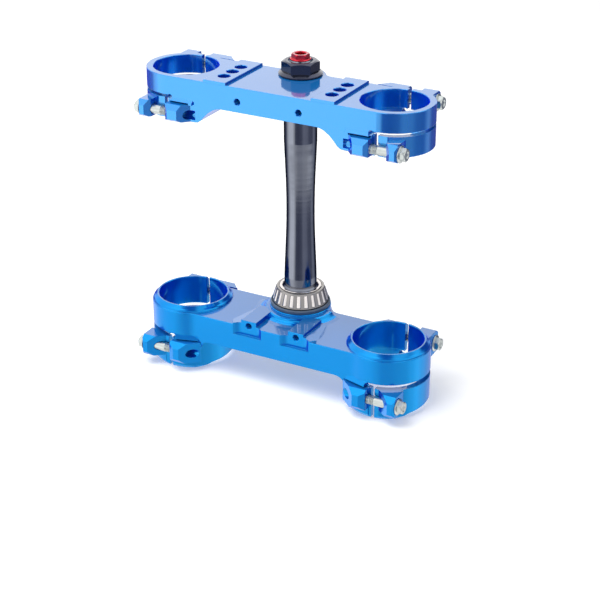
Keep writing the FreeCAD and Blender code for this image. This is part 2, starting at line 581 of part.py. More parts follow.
TILT = math.radians(ROLLER_TILT)
AXIS_DIR = V(-math.sin(TILT), 0, math.cos(TILT))
OUT_DIR = V(math.cos(TILT), 0, math.sin(TILT))
BIG = V(ROLLER_BIG_X, 0, ROLLER_BIG_Z)


def along(t, out=0.0):
    p = BIG + AXIS_DIR * t + OUT_DIR * out
    return (p.x, p.z)


def make_roller(extra=0.0, ends=0.0):
    c = 0.3 if extra == 0.0 else 0.0
    p0 = BIG - AXIS_DIR * ends
    body = Part.makeCone(ROLLER_BIG_R + extra, ROLLER_SMALL_R + extra,
                         ROLLER_LEN + 2 * ends, p0, AXIS_DIR)
    if c:
        a = Part.makeCone(ROLLER_BIG_R - c, ROLLER_BIG_R + 3 - c, 3.0, BIG, AXIS_DIR)
        rest = Part.makeCylinder(ROLLER_BIG_R + 2, ROLLER_LEN, BIG + AXIS_DIR * 1.5, AXIS_DIR)
        body = body.common(a.fuse(rest))
    return body


def make_race():
    r0 = STEM_SEAT_R
    gap = 0.08
    b0 = along(-0.15, -ROLLER_BIG_R - gap)
    b1 = along(ROLLER_LEN + 0.15, -ROLLER_SMALL_R - gap)
    rib_b = along(-0.15, -0.9)
    rib_t = along(ROLLER_LEN + 0.15, -1.25)
    pts = [(r0, RACE_BOTTOM), (rib_b[0] - 0.9, RACE_BOTTOM), (rib_b[0] - 0.1, RACE_BOTTOM + 0.6),
           rib_b, b0, b1, rib_t, (rib_t[0], RACE_TOP - 0.3), (rib_t[0] - 0.3, RACE_TOP),
           (r0 + 0.7, RACE_TOP), (r0, RACE_TOP - 0.7)]
    return turned(pts)


def make_cage():
    t0, t1 = -1.15, ROLLER_LEN + 1.35
    lo, hi = 0.6, 1.6
    shell = turned([along(t0, lo), along(t0, hi), along(t1, hi), along(t1, lo)])
    tip = along(t1, hi)
    lip_r = along(ROLLER_LEN, -1.25)[0] + 0.5
    lip = turned([(lip_r, CAGE_TOP - 0.8), along(t1 - 0.9, lo + 0.1), tip,
                  (tip[0] - 0.3, CAGE_TOP), (lip_r, CAGE_TOP)])
    shell = shell.fuse(lip)
    windows = []
    tool = make_roller(0.14, 0.14)
    for i in range(ROLLERS):
        t = tool.copy()
        t.rotate(V(0, 0, 0), V(0, 0, 1), 360.0 * i / ROLLERS)
        windows.append(t)
    return shell.cut(windows).removeSplitter()


def make_seal():
    z = BOSS_TOP
    r = STEM_SEAT_R + 0.05
    s = SEAL_R
    d = SEAL_DISC
    return turned([(r, z), (s - 0.8, z), (s - 0.2, z + 0.7), (s, z + d + 0.2),
                   (s - 0.4, z + d + 1.2), (s - 0.9, z + d + 1.4), (s - 1.3, z + d + 0.8),
                   (s - 2.4, z + d), (r, z + d)])


def save(name, shape):
    solids = shape.Solids
    out = (solids[0] if len(solids) == 1 else shape).copy()
    out.translate(V(0, 0, -STEM_BOTTOM))
    print(name, "solids", len(solids), "valid", shape.isValid(), "vol", round(shape.Volume, 1))
    out.exportStep("parts/%s.step" % name)


save("upper_clamp", make_upper_clamp())
save("lower_clamp", make_lower_clamp())
save("steering_stem", make_stem())
save("stem_nut", make_nut())
save("stem_plug", make_plug())
save("bearing_inner_race", make_race())
save("bearing_cage", make_cage())
save("bearing_seal", make_seal())
for i in range(ROLLERS):
    roller = make_roller()
    roller.rotate(V(0, 0, 0), V(0, 0, 1), 360.0 * i / ROLLERS)
    save("bearing_roller_%02d" % (i + 1), roller)
for name in PINCH:
    bolt = make_bolt(name)
    save(name + "_bolt_right", bolt)
    save(name + "_bolt_left", mirrored(bolt))
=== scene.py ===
"""Motorcycle triple clamp: finishes, threads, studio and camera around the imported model."""
from __future__ import annotations

import json
import logging
import math
from dataclasses import dataclass
from enum import Enum

import bmesh
import bpy
from mathutils import Euler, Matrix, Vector

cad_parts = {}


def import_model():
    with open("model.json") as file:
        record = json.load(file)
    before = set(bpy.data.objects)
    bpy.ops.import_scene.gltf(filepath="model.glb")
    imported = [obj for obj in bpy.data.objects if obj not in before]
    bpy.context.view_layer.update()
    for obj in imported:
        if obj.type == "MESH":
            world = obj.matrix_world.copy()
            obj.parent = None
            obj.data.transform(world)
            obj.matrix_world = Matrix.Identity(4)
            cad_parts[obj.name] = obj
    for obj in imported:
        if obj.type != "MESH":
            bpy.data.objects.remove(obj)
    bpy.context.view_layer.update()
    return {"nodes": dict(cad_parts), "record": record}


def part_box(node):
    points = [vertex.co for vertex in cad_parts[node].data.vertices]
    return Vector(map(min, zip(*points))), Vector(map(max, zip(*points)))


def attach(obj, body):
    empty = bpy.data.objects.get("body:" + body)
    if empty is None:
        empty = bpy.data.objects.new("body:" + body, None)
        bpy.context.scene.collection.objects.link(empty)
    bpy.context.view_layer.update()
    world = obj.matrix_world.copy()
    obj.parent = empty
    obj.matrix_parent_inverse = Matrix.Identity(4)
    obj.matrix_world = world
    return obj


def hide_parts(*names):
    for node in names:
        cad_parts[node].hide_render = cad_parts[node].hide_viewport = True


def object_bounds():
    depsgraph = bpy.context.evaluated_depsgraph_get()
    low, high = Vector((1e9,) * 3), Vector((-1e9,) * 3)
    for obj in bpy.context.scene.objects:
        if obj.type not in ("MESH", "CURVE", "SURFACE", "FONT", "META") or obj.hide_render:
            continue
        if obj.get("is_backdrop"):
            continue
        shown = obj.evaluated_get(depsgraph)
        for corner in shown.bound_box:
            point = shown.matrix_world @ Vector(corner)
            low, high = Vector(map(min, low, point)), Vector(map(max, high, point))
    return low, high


LOG = logging.getLogger("triple_clamp")
MM = 0.001
# Blender's wave texture turns by this many radians in one unit at scale 1.
WAVE_RATE = 20.0
# How many rays round each edge off in the shading.
EDGE_SAMPLES = 6


class Slot(Enum):
    """The record's material slots."""

    BLUE = "blue_anodised"
    STEM = "dark_steel"
    NUT = "black_steel"
    PLUG = "red_anodised"
    BOLT = "bolt_steel"
    BEARING = "bearing_steel"
    CAGE = "cage_steel"
    SEAL = "seal_rubber"


class Side(Enum):
    """Which way a pinch bolt's head points along X."""

    RIGHT = 1.0
    LEFT = -1.0


def linear(code: str) -> tuple[float, float, float, float]:
    """Turns an sRGB hex colour into linear light.

    Args:
        code: the colour as six hex digits after a hash.

    Returns:
        Red, green, blue and an alpha of one.
    """
    channels = []
    for i in (1, 3, 5):
        c = int(code[i:i + 2], 16) / 255
        channels.append(c / 12.92 if c <= 0.04045 else ((c + 0.055) / 1.055) ** 2.4)
    return (*channels, 1.0)


def per_metre(size_mm: float) -> float:
    """Gives the texture scale whose features are size_mm across."""
    return 1.0 / (size_mm * MM)


def wave_scale(spacing_mm: float) -> float:
    """Gives the wave texture's scale whose lines stand spacing_mm apart."""
    return 2 * math.pi / WAVE_RATE * per_metre(spacing_mm)


def add_node(tree: bpy.types.NodeTree, kind: str, settings: dict | None = None,
             links: dict | None = None) -> bpy.types.Node:
    """Adds one node with its settings and links.

    Args:
        tree: the node tree that gets it.
        kind: the node's Blender type.
        settings: input values by socket name or number, or the node's own properties.
        links: sockets of other nodes, by the name or number of the input they feed.

    Returns:
        The new node.
    """
    node = tree.nodes.new(kind)
    for key, value in (settings or {}).items():
        if isinstance(key, int) or key in node.inputs:
            node.inputs[key].default_value = value
        else:
            setattr(node, key, value)
    for key, socket in (links or {}).items():
        tree.links.new(socket, node.inputs[key])
    return node


def new_material(name: str) -> tuple[bpy.types.Material, bpy.types.NodeTree]:
    """Starts an empty node material.

    Args:
        name: the finish's name.

    Returns:
        The material and its node tree.
    """
    material = bpy.data.materials.new(name)
    material.use_nodes = True
    material.node_tree.nodes.clear()
    return material, material.node_tree


def patchy_colour(tree: bpy.types.NodeTree, place: bpy.types.Node, code: str, patch_mm: float,
                  detail: float, tones: tuple[float, float]) -> bpy.types.NodeSocket:
    """Adds a colour that is darker and lighter in soft patches.

    Args:
        tree: the material's tree.
        place: its texture coordinates.
        code: the colour as sRGB hex.
        patch_mm: how far across the patches are.
        detail: how broken their outlines are.
        tones: what multiplies the colour in the darkest and the lightest patch.

    Returns:
        The socket that gives the colour.
    """
    patches = add_node(tree, "ShaderNodeTexNoise",
                       {"Scale": per_metre(patch_mm), "Detail": detail},
                       {"Vector": place.outputs["Object"]})
    tone = add_node(tree, "ShaderNodeMapRange", {"To Min": tones[0], "To Max": tones[1]},
                    {0: patches.outputs[0]})
    colour = add_node(tree, "ShaderNodeMix",
                      {"data_type": "RGBA", "blend_type": "MULTIPLY", 0: 1.0, 6: linear(code)},
                      {7: tone.outputs[0]})
    return colour.outputs[2]


@dataclass(frozen=True)
class AnodisedAluminium:
    """Machined aluminium, bright dipped, dyed and sealed: a deep metal colour under clear gloss."""

    name: str
    wall_hex: str
    # The colour of the faces that look up: painted sheen standing in for the reflection they show.
    painted_top_hex: str
    # Walls are cut bright. Faces that look up get painted sheen instead: their own colour, less
    # metal and more clear gloss stand in for the pale reflection they show.
    # A face goes from wall to flat between these heights of its normal's Z.
    flat_from: float = 0.965
    flat_to: float = 0.995
    wall_metallic: float = 0.9
    flat_metallic: float = 0.12
    wall_coat: float = 0.12
    flat_coat: float = 1.0
    # The dyed layer under the clear one hardly shines by itself.
    base_shine: float = 0.06
    roughness: float = 0.14
    roughness_spread: tuple[float, float] = (0.85, 1.2)
    coat_ior: float = 1.7
    coat_roughness: float = 0.04
    # The cutter leaves fine feed lines. Real ones are 0.1 mm apart, drawn at 1.4 mm to show.
    feed_mm: float = 1.4
    feed_waver: float = 0.4
    feed_depth_mm: float = 0.0012
    feed_strength: float = 0.5
    # The dye takes a little unevenly over patches of a few centimetres.
    cloud_mm: float = 38.0
    cloud_tones: tuple[float, float] = (0.94, 1.05)
    edge_mm: float = 0.25
    # Light scattered by the dye in the pores. It shows where a wall mirrors something dark.
    veil: float = 0.0
    veil_roughness: float = 1.0
    veil_hex: str = "#0028FF"

    def layer(self, tree: bpy.types.NodeTree, code: str, shade: bpy.types.Node, links: dict,
              settings: dict) -> bpy.types.Node:
        """Adds the shader of the cut walls or the painted sheen of the faces that look up.

        Args:
            tree: the material's tree.
            code: the colour as sRGB hex: the dye's on the walls, a painted sheen colour on the
                faces that look up.
            shade: the node that clouds the colour.
            links: what the walls and the flats share.
            settings: what only this shader has.

        Returns:
            The shader node.
        """
        colour = add_node(tree, "ShaderNodeMix",
                          {"data_type": "RGBA", "blend_type": "MULTIPLY", 0: 1.0,
                           6: linear(code)},
                          {7: shade.outputs[0]})
        return add_node(tree, "ShaderNodeBsdfPrincipled",
                        {"Coat IOR": self.coat_ior, "Coat Roughness": self.coat_roughness,
                         "Specular IOR Level": self.base_shine} | settings,
                        {"Base Color": colour.outputs[2]} | links)

    def build(self) -> bpy.types.Material:
        """Builds the material.

        Returns:
            A glossy metal with rounded edges, feed lines on its flats, faint clouding and painted
            sheen on the faces that look up.
        """
        material, tree = new_material(self.name)
        place = add_node(tree, "ShaderNodeTexCoord")
        normal = add_node(tree, "ShaderNodeSeparateXYZ", links={0: place.outputs["Normal"]})
        # Mask of the faces that look up: it paints their sheen and carries their real feed lines.
        flat = add_node(tree, "ShaderNodeMapRange",
                        {"From Min": self.flat_from, "From Max": self.flat_to,
                         "interpolation_type": "SMOOTHSTEP"},
                        {0: normal.outputs["Z"]})
        cloud = add_node(tree, "ShaderNodeTexNoise",
                         {"Scale": per_metre(self.cloud_mm), "Detail": 2.0},
                         {"Vector": place.outputs["Object"]})
        shade = add_node(tree, "ShaderNodeMapRange",
                         {"To Min": self.cloud_tones[0], "To Max": self.cloud_tones[1]},
                         {0: cloud.outputs[0]})
        lines = add_node(tree, "ShaderNodeTexWave",
                         {"wave_type": "RINGS", "rings_direction": "Z",
                          "Scale": wave_scale(self.feed_mm), "Distortion": self.feed_waver,
                          "Detail": 1.0},
                         {"Vector": place.outputs["Object"]})
        depth = add_node(tree, "ShaderNodeMath", {"operation": "MULTIPLY"},
                         {0: lines.outputs["Fac"], 1: flat.outputs[0]})
        edge = add_node(tree, "ShaderNodeBevel",
                        {"samples": EDGE_SAMPLES, "Radius": self.edge_mm * MM})
        bump = add_node(tree, "ShaderNodeBump",
                        {"Strength": self.feed_strength, "Distance": self.feed_depth_mm * MM},
                        {"Height": depth.outputs[0], "Normal": edge.outputs[0]})
        rough = add_node(tree, "ShaderNodeMapRange",
                         {"To Min": self.roughness * self.roughness_spread[0],
                          "To Max": self.roughness * self.roughness_spread[1]},
                         {0: cloud.outputs[0]})
        links = {"Roughness": rough.outputs[0], "Normal": bump.outputs[0],
                 "Coat Normal": bump.outputs[0]}
        cut = self.layer(tree, self.wall_hex, shade, links, {
            "Metallic": self.wall_metallic, "Coat Weight": self.wall_coat,
            "Sheen Weight": self.veil, "Sheen Roughness": self.veil_roughness,
            "Sheen Tint": linear(self.veil_hex)})
        # Painted sheen on the faces that look up: own colour, little metal, full clear gloss.
        painted_top_sheen = self.layer(tree, self.painted_top_hex, shade, links, {
            "Metallic": self.flat_metallic, "Coat Weight": self.flat_coat})
        shader = add_node(tree, "ShaderNodeMixShader", {},
                          {0: flat.outputs[0], 1: cut.outputs[0], 2: painted_top_sheen.outputs[0]})
        add_node(tree, "ShaderNodeOutputMaterial", links={"Surface": shader.outputs[0]})
        return material


@dataclass(frozen=True)
class TurnedSteel:
    """Steel turned or ground on a lathe: fine rings around the steering axis, and a metal shine."""

    name: str
    body_hex: str
    roughness: float
    anisotropy: float
    # Turning marks. Real ones are 0.05 to 0.2 mm apart, drawn wider where they need to show.
    ring_mm: float
    ring_depth_mm: float
    ring_strength: float = 0.6
    ring_waver: float = 0.6
    coat: float = 0.0
    coat_roughness: float = 0.08
    edge_mm: float = 0.25
    grit_mm: float = 0.5
    roughness_spread: tuple[float, float] = (0.75, 1.3)
    wear_mm: float = 14.0
    wear_tones: tuple[float, float] = (0.86, 1.14)
    # What the metal shows where it is seen at a shallow angle.
    graze_hex: str = "#FFFFFF"

    def build(self) -> bpy.types.Material:
        """Builds the material.

        Returns:
            A metal with faint rings, uneven shine and rounded edges.
        """
        material, tree = new_material(self.name)
        place = add_node(tree, "ShaderNodeTexCoord")
        rings = add_node(tree, "ShaderNodeTexWave",
                         {"bands_direction": "Z", "Scale": wave_scale(self.ring_mm),
                          "Distortion": self.ring_waver, "Detail": 2.0, "Detail Scale": 0.3},
                         {"Vector": place.outputs["Object"]})
        grit = add_node(tree, "ShaderNodeTexNoise",
                        {"Scale": per_metre(self.grit_mm), "Detail": 4.0},
                        {"Vector": place.outputs["Object"]})
        colour = patchy_colour(tree, place, self.body_hex, self.wear_mm, 3.0, self.wear_tones)
        edge = add_node(tree, "ShaderNodeBevel",
                        {"samples": EDGE_SAMPLES, "Radius": self.edge_mm * MM})
        bump = add_node(tree, "ShaderNodeBump",
                        {"Strength": self.ring_strength, "Distance": self.ring_depth_mm * MM},
                        {"Height": rings.outputs["Fac"], "Normal": edge.outputs[0]})
        rough = add_node(tree, "ShaderNodeMapRange",
                         {"To Min": self.roughness * self.roughness_spread[0],
                          "To Max": self.roughness * self.roughness_spread[1]},
                         {0: grit.outputs[0]})
        tangent = add_node(tree, "ShaderNodeTangent", {"direction_type": "RADIAL", "axis": "Z"})
        shader = add_node(tree, "ShaderNodeBsdfPrincipled",
                          {"Metallic": 1.0, "Anisotropic": self.anisotropy,
                           "Coat Weight": self.coat, "Coat Roughness": self.coat_roughness,
                           "Specular Tint": linear(self.graze_hex)},
                          {"Base Color": colour, "Roughness": rough.outputs[0],
                           "Normal": bump.outputs[0], "Tangent": tangent.outputs[0]})
        add_node(tree, "ShaderNodeOutputMaterial", links={"Surface": shader.outputs[0]})
        return material


@dataclass(frozen=True)
class ZincPlatedSteel:
    """Cold headed bolt steel with bright zinc: a soft silver with a very fine crystal grain."""

    name: str = "zinc_plated_bolt_steel"
    body_hex: str = "#BCC2C0"
    roughness: float = 0.3
    grain_mm: float = 0.35
    grain_depth_mm: float = 0.004
    grain_strength: float = 0.4
    stain_mm: float = 3.5
    stain_tones: tuple[float, float] = (0.84, 1.08)
    edge_mm: float = 0.3

    def build(self) -> bpy.types.Material:
        """Builds the material.

        Returns:
            A satin silver metal.
        """
        material, tree = new_material(self.name)
        place = add_node(tree, "ShaderNodeTexCoord")
        grain = add_node(tree, "ShaderNodeTexVoronoi", {"Scale": per_metre(self.grain_mm)},
                         {"Vector": place.outputs["Object"]})
        colour = patchy_colour(tree, place, self.body_hex, self.stain_mm, 3.0, self.stain_tones)
        edge = add_node(tree, "ShaderNodeBevel",
                        {"samples": EDGE_SAMPLES, "Radius": self.edge_mm * MM})
        bump = add_node(tree, "ShaderNodeBump",
                        {"Strength": self.grain_strength, "Distance": self.grain_depth_mm * MM},
                        {"Height": grain.outputs["Distance"], "Normal": edge.outputs[0]})
        shader = add_node(tree, "ShaderNodeBsdfPrincipled",
                          {"Metallic": 1.0, "Roughness": self.roughness},
                          {"Base Color": colour, "Normal": bump.outputs[0]})
        add_node(tree, "ShaderNodeOutputMaterial", links={"Surface": shader.outputs[0]})
        return material


@dataclass(frozen=True)
class MouldedRubber:
    """Moulded nitrile rubber: dark grey, smooth, with a low even sheen."""

    name: str = "moulded_nitrile_rubber"
    body_hex: str = "#4E5F74"
    roughness: float = 0.42
    skin_mm: float = 0.4
    skin_depth_mm: float = 0.01
    skin_strength: float = 0.3
    dust_mm: float = 6.0
    dust_tones: tuple[float, float] = (0.8, 1.25)

    def build(self) -> bpy.types.Material:
        """Builds the material.

        Returns:
            A dark rubber with a faint mould texture.
        """
        material, tree = new_material(self.name)
        place = add_node(tree, "ShaderNodeTexCoord")
        skin = add_node(tree, "ShaderNodeTexNoise",
                        {"Scale": per_metre(self.skin_mm), "Detail": 4.0},
                        {"Vector": place.outputs["Object"]})
        colour = patchy_colour(tree, place, self.body_hex, self.dust_mm, 2.0, self.dust_tones)
        bump = add_node(tree, "ShaderNodeBump",
                        {"Strength": self.skin_strength, "Distance": self.skin_depth_mm * MM},
                        {"Height": skin.outputs[0]})
        shader = add_node(tree, "ShaderNodeBsdfPrincipled", {"Roughness": self.roughness},
                          {"Base Color": colour, "Normal": bump.outputs[0]})
        add_node(tree, "ShaderNodeOutputMaterial", links={"Surface": shader.outputs[0]})
        return material


# The second colour of each finish is painted sheen for the faces that look up.
BLUE = AnodisedAluminium("blue_anodised_aluminium", wall_hex="#1092C8", painted_top_hex="#126CB6",
                         edge_mm=0.55, veil=0.5)
# The upper clamp wears a lit copy of the blue finish: full clear gloss on its walls paints white
# sheen over the blue.
UPPER_LIT_COPY_BLUE = AnodisedAluminium("blue_anodised_upper_lit_copy", wall_hex="#1092C8", painted_top_hex="#126CB6",
                             wall_coat=1.0, veil=0.5)
RED = AnodisedAluminium("red_anodised_aluminium", wall_hex="#CC2A3C", painted_top_hex="#A82436",
                        roughness=0.22)
STEM = TurnedSteel("oxide_coated_turned_steel", "#747883", roughness=0.12, anisotropy=0.2,
                   ring_mm=1.6, ring_depth_mm=0.001, graze_hex="#5C606C")
NUT = TurnedSteel("black_oxide_steel", "#282C40", roughness=0.24, anisotropy=0.0, ring_mm=1.0,
                  ring_depth_mm=0.001, coat=0.5, edge_mm=0.4)
BEARING = TurnedSteel("ground_bearing_steel", "#D2CDCB", roughness=0.16, anisotropy=0.3,
                      ring_mm=0.6, ring_depth_mm=0.0008, edge_mm=0.2)
CAGE = TurnedSteel("pressed_cage_steel", "#94918F", roughness=0.34, anisotropy=0.0, ring_mm=2.4,
                   ring_depth_mm=0.001, edge_mm=0.2)
ZINC = ZincPlatedSteel()
RUBBER = MouldedRubber()


def skin_rings(name: str, rings: list[list[Vector]]) -> bpy.types.Mesh:
    """Joins rings of points into one closed skin.

    Args:
        name: the mesh's name.
        rings: rings with the same number of points; the first and last are closed by caps.

    Returns:
        The mesh, with its faces outwards.
    """
    bm = bmesh.new()
    rows = [[bm.verts.new(p) for p in ring] for ring in rings]
    count = len(rings[0])
    for low, high in zip(rows, rows[1:]):
        for i in range(count):
            j = (i + 1) % count
            bm.faces.new((low[i], low[j], high[j], high[i]))
    bm.faces.new(rows[0])
    bm.faces.new(rows[-1])
    bmesh.ops.recalc_face_normals(bm, faces=bm.faces)
    mesh = bpy.data.meshes.new(name)
    bm.to_mesh(mesh)
    bm.free()
    return mesh


def as_piece(name: str, mesh: bpy.types.Mesh) -> bpy.types.Object:
    """Puts a mesh into the scene as an object at the origin.

    Args:
        name: the piece's name.
        mesh: its mesh, already in place.

    Returns:
        The object.
    """
    piece = bpy.data.objects.new(name, mesh)
    bpy.context.scene.collection.objects.link(piece)
    return piece


@dataclass
class ThreadMaker:
    """A node tree that winds one screw thread and joins it to the piece it is given."""

    segments: int = 28
    ridge_sides: int = 6
    sharp_degrees: float = 32.0

    def build(self) -> bpy.types.NodeTree:
        """Builds the tree.

        Returns:
            A tree with named inputs for pitch, turns, radius, ridge, place and turn.
        """
        tree = bpy.data.node_groups.new("screw_thread", "GeometryNodeTree")
        face = tree.interface
        face.new_socket("Geometry", in_out="OUTPUT", socket_type="NodeSocketGeometry")
        face.new_socket("Geometry", in_out="INPUT", socket_type="NodeSocketGeometry")
        for name in ("Pitch", "Turns", "Radius", "Ridge"):
            face.new_socket(name, in_out="INPUT", socket_type="NodeSocketFloat")
        for name in ("Place", "Turn"):
            face.new_socket(name, in_out="INPUT", socket_type="NodeSocketVector")
        face.new_socket("Finish", in_out="INPUT", socket_type="NodeSocketMaterial")
        given = add_node(tree, "NodeGroupInput")
        length = add_node(tree, "ShaderNodeMath", {"operation": "MULTIPLY"},
                          {0: given.outputs["Pitch"], 1: given.outputs["Turns"]})
        helix = add_node(tree, "GeometryNodeCurveSpiral", {"Resolution": self.segments},
                         {"Rotations": given.outputs["Turns"],
                          "Start Radius": given.outputs["Radius"],
                          "End Radius": given.outputs["Radius"], "Height": length.outputs[0]})
        crest = add_node(tree, "GeometryNodeCurvePrimitiveCircle",
                         {"Resolution": self.ridge_sides}, {"Radius": given.outputs["Ridge"]})
        ridge = add_node(tree, "GeometryNodeCurveToMesh", {"Fill Caps": True},
                         {"Curve": helix.outputs[0], "Profile Curve": crest.outputs[0]})
        placed = add_node(tree, "GeometryNodeTransform", {},
                          {"Geometry": ridge.outputs[0], "Translation": given.outputs["Place"],
                           "Rotation": given.outputs["Turn"]})
        whole = add_node(tree, "GeometryNodeJoinGeometry", {}, {"Geometry": placed.outputs[0]})
        tree.links.new(given.outputs["Geometry"], whole.inputs["Geometry"])
        real = add_node(tree, "GeometryNodeRealizeInstances", {}, {"Geometry": whole.outputs[0]})
        dressed = add_node(tree, "GeometryNodeSetMaterial", {},
                           {"Geometry": real.outputs[0], "Material": given.outputs["Finish"]})
        add_node(tree, "NodeGroupOutput", {}, {"Geometry": dressed.outputs[0]})
        return tree

    def wind(self, piece: bpy.types.Object, tree: bpy.types.NodeTree, sizes: dict) -> None:
        """Winds a thread onto a piece and leaves it a plain mesh.

        Args:
            piece: the object that gets the thread.
            tree: the tree from build.
            sizes: values by input name.
        """
        modifier = piece.modifiers.new("thread", "NODES")
        modifier.node_group = tree
        for item in tree.interface.items_tree:
            if item.item_type == "SOCKET" and item.in_out == "INPUT" and item.name in sizes:
                modifier[item.identifier] = sizes[item.name]
        graph = bpy.context.evaluated_depsgraph_get()
        mesh = bpy.data.meshes.new_from_object(piece.evaluated_get(graph))
        piece.modifiers.clear()
        piece.data = mesh
        mesh.shade_smooth()
        mesh.set_sharp_from_angle(angle=math.radians(self.sharp_degrees))


@dataclass
class PinchBolt:
    """One M8 flange bolt with a hexagon head, a plain shank and a wound thread.

    Its sizes are in millimetres.
    """

    node: str
    side: Side
    shank_r: float = 4.0
    core_r: float = 3.42
    # How much the tip tapers, and the length over which it does and the core meets the shank.
    tip_chamfer: float = 0.7
    tip_length: float = 0.6
    thread_length: float = 17.0
    thread_start: float = 1.0
    # What the winding leaves free of the thread's length, so that it ends before the shank.
    thread_spare: float = 1.5
    pitch: float = 1.25
    # The thread's ridge, and how far its middle lies under the shank's surface.
    ridge_r: float = 0.4
    ridge_depth: float = 0.42
    flange_r: float = 7.0
    flange_corner: float = 0.25
    flange_rim: float = 0.9
    flange_taper: float = 0.1
    flange_height: float = 1.4
    # The flange's top slopes in from its rim, up to the foot of the hexagon.
    slope_rise: float = 0.3
    slope_inset: float = 0.7
    foot_rise: float = 0.2
    foot_spread: float = 0.75
    hex_flats: float = 10.0
    hex_height: float = 4.2
    # The cone that turns off the head's top corners, by its size beyond the hexagon's flats.
    cone_foot: float = 0.8
    cone_top: float = -0.45
    cone_height: float = 1.1
    cone_steps: int = 5
    dish_r: float = 2.9
    dish_slope: float = 0.6
    dish_depth: float = 0.7
    points: int = 48

    def hex_radius(self, angle: float) -> float:
        """Gives the head's radius at an angle, in millimetres."""
        sector = math.radians(60)
        return self.hex_flats / 2 / math.cos((angle + sector / 2) % sector - sector / 2)

    def profile(self) -> list[tuple[float, float, bool]]:
        """Lists the bolt's rings from its tip to its head.

        Returns:
            Distance from the tip, radius and whether the hexagon cuts the ring, per ring.
        """
        low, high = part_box(self.node)
        top = (high[0] - low[0]) / MM
        root = top - self.hex_height
        seat = root - self.flange_height
        rim = seat + self.flange_rim
        core_end = self.thread_length
        flat_r = self.hex_flats / 2
        rings = [(0.0, self.core_r - self.tip_chamfer, False),
                 (self.tip_length, self.core_r, False),
                 (core_end, self.core_r, False),
                 (core_end + self.tip_length, self.shank_r, False),
                 (seat, self.shank_r, False),
                 (seat, self.flange_r - self.flange_corner, False),
                 (seat + self.flange_corner, self.flange_r, False),
                 (rim, self.flange_r - self.flange_taper, False),
                 (rim + self.slope_rise, self.flange_r - self.slope_inset, False),
                 (root + self.foot_rise, flat_r + self.foot_spread, True)]
        for i in range(self.cone_steps + 1):
            t = i / self.cone_steps
            beyond = self.cone_foot + (self.cone_top - self.cone_foot) * t
            rings.append((top - self.cone_height * (1 - t), flat_r + beyond, True))
        rings += [(top, self.dish_r, False),
                  (top - self.dish_depth, self.dish_r - self.dish_slope, False)]
        return rings

    def build(self, threads: ThreadMaker, tree: bpy.types.NodeTree,
              finish: bpy.types.Material) -> bpy.types.Object:
        """Builds the bolt in place and lets it stand for its node.

        Args:
            threads: winds the thread.
            tree: the thread tree.
            finish: the bolt's material.

        Returns:
            The finished bolt.
        """
        low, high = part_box(self.node)
        y, z = (low[1] + high[1]) / 2, (low[2] + high[2]) / 2
        way = self.side.value
        tip = low[0] if way > 0 else high[0]
        rings = []
        for along, radius, hexed in self.profile():
            ring = []
            for i in range(self.points):
                a = 2 * math.pi * i / self.points
                r = min(radius, self.hex_radius(a)) if hexed else radius
                ring.append(Vector((tip + way * along * MM, y + r * math.cos(a) * MM,
                                    z + r * math.sin(a) * MM)))
            rings.append(ring)
        bolt = as_piece(self.node + "_m8", skin_rings(self.node, rings))
        threads.wind(bolt, tree, {
            "Pitch": self.pitch * MM,
            "Turns": (self.thread_length - self.thread_spare) / self.pitch,
            "Radius": (self.shank_r - self.ridge_depth) * MM, "Ridge": self.ridge_r * MM,
            "Place": (tip + way * self.thread_start * MM, y, z),
            "Turn": (0.0, way * math.pi / 2, 0.0), "Finish": finish})
        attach(bolt, "yoke")
        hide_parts(self.node)
        return bolt


@dataclass
class TappedHoles:
    """The M6 threads inside one pattern of tapped holes.

    Their sizes are in millimetres.
    """

    mount: str
    depth_mm: float
    pitch: float = 1.0
    ridge: float = 0.2
    # How far the ridge's middle lies inside the wall, and what the winding leaves free.
    sink: float = 0.06
    spare: float = 1.2

    def centres(self, record: dict) -> tuple[list[Vector], Vector, float]:
        """Reads the holes from the record.

        Args:
            record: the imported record.

        Returns:
            The mouth of each hole, the way out of the holes and their radius.
        """
        mount = next(m for m in record["mounts"] if m["name"] == self.mount)
        dims = mount["dims"]
        middle = Vector(mount["pos_m"])
        half_x = dims["spacing_x_mm"] * MM / 2
        half_y = dims.get("spacing_y_mm", 0.0) * MM / 2
        rows = (-half_y, half_y) if half_y else (0.0,)
        spots = [middle + Vector((sx * half_x, dy, 0.0)) for sx in (-1, 1) for dy in rows]
        return spots, Vector(mount["axis"]), dims["hole_r_mm"]

    def build(self, record: dict, threads: ThreadMaker, tree: bpy.types.NodeTree,
              finish: bpy.types.Material) -> None:
        """Winds a thread into each hole.

        Args:
            record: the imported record.
            threads: winds the thread.
            tree: the thread tree.
            finish: the clamp's material.
        """
        spots, out, hole_r = self.centres(record)
        turn = out.to_track_quat("Z", "Y").to_euler()
        for i, spot in enumerate(spots):
            name = f"{self.mount}_thread_{i + 1}"
            piece = as_piece(name, bpy.data.meshes.new(name))
            start = spot - out * self.depth_mm * MM
            threads.wind(piece, tree, {
                "Pitch": self.pitch * MM, "Turns": (self.depth_mm - self.spare) / self.pitch,
                "Radius": (hole_r + self.sink) * MM, "Ridge": self.ridge * MM,
                "Place": tuple(start), "Turn": tuple(turn), "Finish": finish})
            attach(piece, "yoke")
            LOG.info("thread %s", name)


# The patterns of tapped holes, by mount, and the depth of their threads in millimetres.
TAPPED = {"upper_front_holes": 12.0, "lower_front_holes": 11.0, "fender_holes": 11.0}


